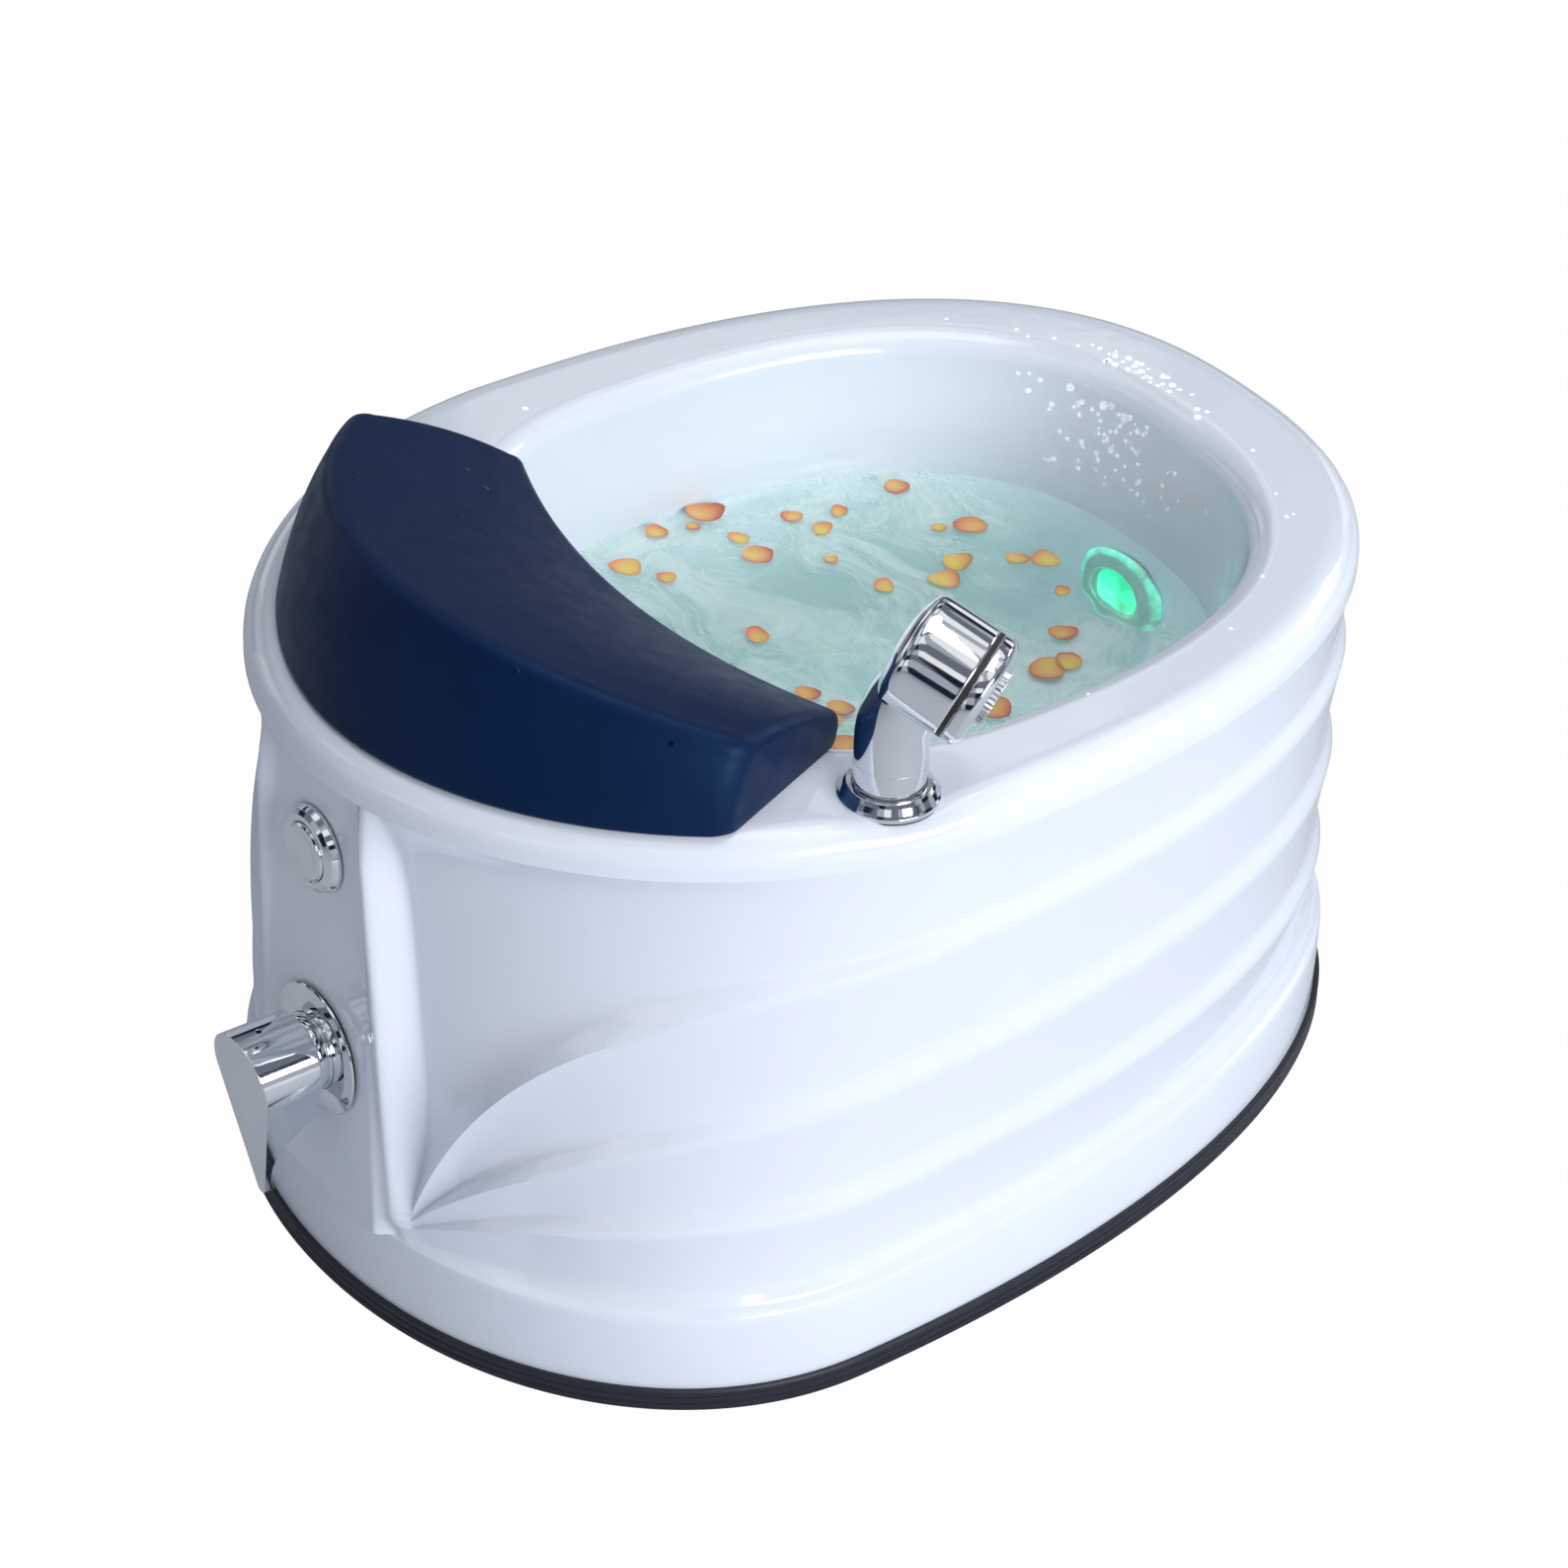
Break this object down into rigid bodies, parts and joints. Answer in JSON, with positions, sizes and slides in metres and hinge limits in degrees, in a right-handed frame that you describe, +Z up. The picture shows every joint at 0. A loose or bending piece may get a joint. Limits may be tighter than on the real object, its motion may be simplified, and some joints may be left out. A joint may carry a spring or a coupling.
{
  "type": "pedicure foot spa tub",
  "caption": "Free-standing oval pedicure foot-soak tub with fluted skirt, lift-off padded footrest, pull-out sprayer, lever mixer, air button, underwater light and drain.",
  "frame": {"origin": "on the floor, under the middle of the whole tub's bounding box", "axes": "+Z up; -Y towards the control panel with the mixer lever, where the technician sits; +Y towards the client; the sprayer stands on the +X side"},
  "size_m": [0.4712, 0.6658, 0.4432],
  "materials": {
    "acrylic": "glossy white acrylic",
    "trim_rubber": "satin near-black extrusion",
    "board": "sealed birch plywood",
    "zinc_steel": "zinc plated",
    "cushion_skin": "matte navy integral-skin foam",
    "black_rubber": "satin",
    "clear_vinyl": "soft translucent vinyl",
    "chrome": "polished",
    "brass": "machined",
    "white_nylon": "satin",
    "black_plastic": "satin",
    "grey_plastic": "fine texture",
    "lens": "frosted lens",
    "satin_plastic": "satin silver",
    "circuit": "solder mask"
  },
  "bodies": {
    "tub": {"basin": "acrylic", "skirt": "acrylic", "base_trim": "trim_rubber", "base_board": "board", "bowl_supports": "zinc_steel", "support_pads": "black_rubber", "sprayer_collar": "chrome", "collar_gasket": "black_rubber", "collar_nut": "brass", "mixer_escutcheon": "chrome", "mixer_gasket": "black_rubber", "mixer_body": "brass", "mixer_lock_nut": "brass", "inlet_nipples": "brass", "outlet_nipple": "brass", "mixer_cartridge": "white_nylon", "mixer_bonnet": "chrome", "air_bezel": "chrome", "air_gasket": "black_rubber", "air_bellows": "black_rubber", "air_back_cap": "white_nylon", "air_nut": "white_nylon", "light_bezel": "satin_plastic", "light_lens": "lens", "light_housing": "satin_plastic", "light_gasket": "black_rubber", "light_nut": "white_nylon", "led_board": "circuit", "light_gland": "black_plastic", "drain_body": "chrome", "drain_gasket": "black_rubber", "drain_strainer": "chrome", "drain_nut": "white_nylon", "drain_tail": "white_nylon", "control_box": "grey_plastic", "control_box_lid": "grey_plastic", "lid_screws": "zinc_steel", "air_switch": "black_plastic", "cable_glands": "black_plastic", "board_brackets": "zinc_steel", "bracket_screws": "zinc_steel"},
    "footrest": {"footrest": "cushion_skin", "footrest_inserts": "black_plastic", "suction_cups": "clear_vinyl"},
    "sprayer_swivel": {"sprayer_bush": "white_nylon"},
    "sprayer": {"sprayer_body": "chrome", "sprayer_seal_ring": "black_rubber", "spray_nozzle": "chrome", "hose_cone_nut": "brass"},
    "spray_dial": {"spray_dial": "chrome"},
    "mixer_turn": {"stem_yoke": "zinc_steel", "stem_pivot_pin": "zinc_steel"},
    "mixer_lever": {"lever_stem": "chrome", "mixer_handle": "chrome", "handle_screw": "zinc_steel"},
    "air_button": {"air_button": "chrome"},
    "drain_plug": {"drain_plug": "chrome", "plug_seal": "black_rubber"}
  },
  "joints": [
    {"name": "footrest_lift", "type": "slide", "parent": "tub", "child": "footrest", "axis": [0, 0, 1], "range_m": [0, 0.06]},
    {"name": "sprayer_turn", "type": "hinge", "parent": "tub", "child": "sprayer_swivel", "pos_m": [0.18041, -0.08806, 0.34], "axis": [0, 0, 1], "range_deg": [-60, 60]},
    {"name": "sprayer_pull", "type": "slide", "parent": "sprayer_swivel", "child": "sprayer", "axis": [0, 0, 1], "range_m": [0, 0.1]},
    {"name": "dial_turn", "type": "hinge", "parent": "sprayer", "child": "spray_dial", "pos_m": [0.18041, -0.08806, 0.4205], "axis": [0.7662, 0.4976, -0.4067], "range_deg": [0, 90]},
    {"name": "mixer_temperature", "type": "hinge", "parent": "tub", "child": "mixer_turn", "pos_m": [-0.01059, -0.28406, 0.142], "axis": [0, -1, 0], "range_deg": [-45, 45]},
    {"name": "mixer_flow", "type": "hinge", "parent": "mixer_turn", "child": "mixer_lever", "pos_m": [-0.01059, -0.29606, 0.142], "axis": [-1, 0, 0], "range_deg": [0, 20]},
    {"name": "air_button_press", "type": "slide", "parent": "tub", "child": "air_button", "axis": [0, 1, 0], "range_m": [0, 0.004], "stiffness_N_per_m": 900, "springref_m": -0.002, "deforming": ["air_bellows"]},
    {"name": "plug_lift", "type": "slide", "parent": "tub", "child": "drain_plug", "axis": [0, 0, 1], "range_m": [0, 0.04]}
  ]
}
